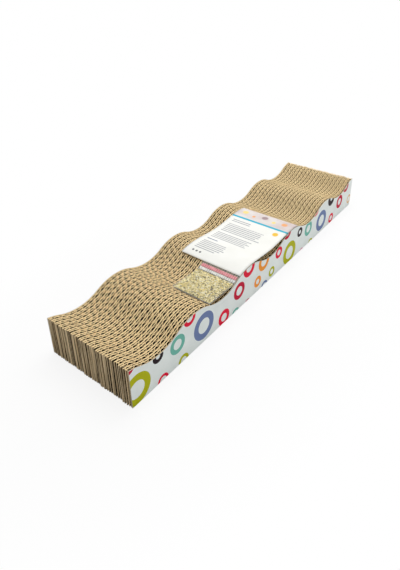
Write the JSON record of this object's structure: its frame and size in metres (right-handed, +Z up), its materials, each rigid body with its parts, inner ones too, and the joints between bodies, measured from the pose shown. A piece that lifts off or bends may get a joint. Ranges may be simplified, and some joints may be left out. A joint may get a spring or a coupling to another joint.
{
  "type": "cardboard cat scratcher",
  "caption": "Long low cat scratcher of corrugated board strips glued on edge, with a wavy scratching top, printed side panels, a loose information card and a small zip bag of catnip.",
  "frame": {"origin": "on the floor, under the middle of the block", "axes": "+X across the strips towards the side panel that faces the card's and the bag's outer edges, +Y along the strips from the near end to the far end, +Z up"},
  "size_m": [0.1104, 0.4734, 0.0461],
  "materials": {
    "face_liner": "matte",
    "fluted_core": "matte",
    "printed_panel": "satin",
    "card": "satin",
    "film": "gloss",
    "zip": "gloss",
    "dried_leaf": "matte"
  },
  "bodies": {
    "block": {"strip_01_face_liner": "face_liner", "strip_02_face_liner": "face_liner", "strip_03_face_liner": "face_liner", "strip_04_face_liner": "face_liner", "strip_05_face_liner": "face_liner", "strip_06_face_liner": "face_liner", "strip_07_face_liner": "face_liner", "strip_08_face_liner": "face_liner", "strip_09_face_liner": "face_liner", "strip_10_face_liner": "face_liner", "strip_11_face_liner": "face_liner", "strip_12_face_liner": "face_liner", "strip_13_face_liner": "face_liner", "strip_14_face_liner": "face_liner", "strip_15_face_liner": "face_liner", "strip_16_face_liner": "face_liner", "strip_17_face_liner": "face_liner", "strip_18_face_liner": "face_liner", "strip_19_face_liner": "face_liner", "strip_01_fluted_core": "fluted_core", "strip_02_fluted_core": "fluted_core", "strip_03_fluted_core": "fluted_core", "strip_04_fluted_core": "fluted_core", "strip_05_fluted_core": "fluted_core", "strip_06_fluted_core": "fluted_core", "strip_07_fluted_core": "fluted_core", "strip_08_fluted_core": "fluted_core", "strip_09_fluted_core": "fluted_core", "strip_10_fluted_core": "fluted_core", "strip_11_fluted_core": "fluted_core", "strip_12_fluted_core": "fluted_core", "strip_13_fluted_core": "fluted_core", "strip_14_fluted_core": "fluted_core", "strip_15_fluted_core": "fluted_core", "strip_16_fluted_core": "fluted_core", "strip_17_fluted_core": "fluted_core", "strip_18_fluted_core": "fluted_core", "strip_19_fluted_core": "fluted_core", "left_side_panel": "printed_panel", "right_side_panel": "printed_panel"},
    "card": {"info_card": "card"},
    "bag": {"bag_film": "film", "catnip": "dried_leaf", "zip_groove_strip": "zip", "zip_rib_strip": "zip"}
  },
  "joints": [
    {"name": "card_lift", "type": "slide", "parent": "block", "child": "card", "axis": [0, 0, 1], "range_m": [0, 0.08]},
    {"name": "bag_slide", "type": "slide", "parent": "block", "child": "bag", "axis": [1, 0, 0], "range_m": [0, 0.07]}
  ]
}
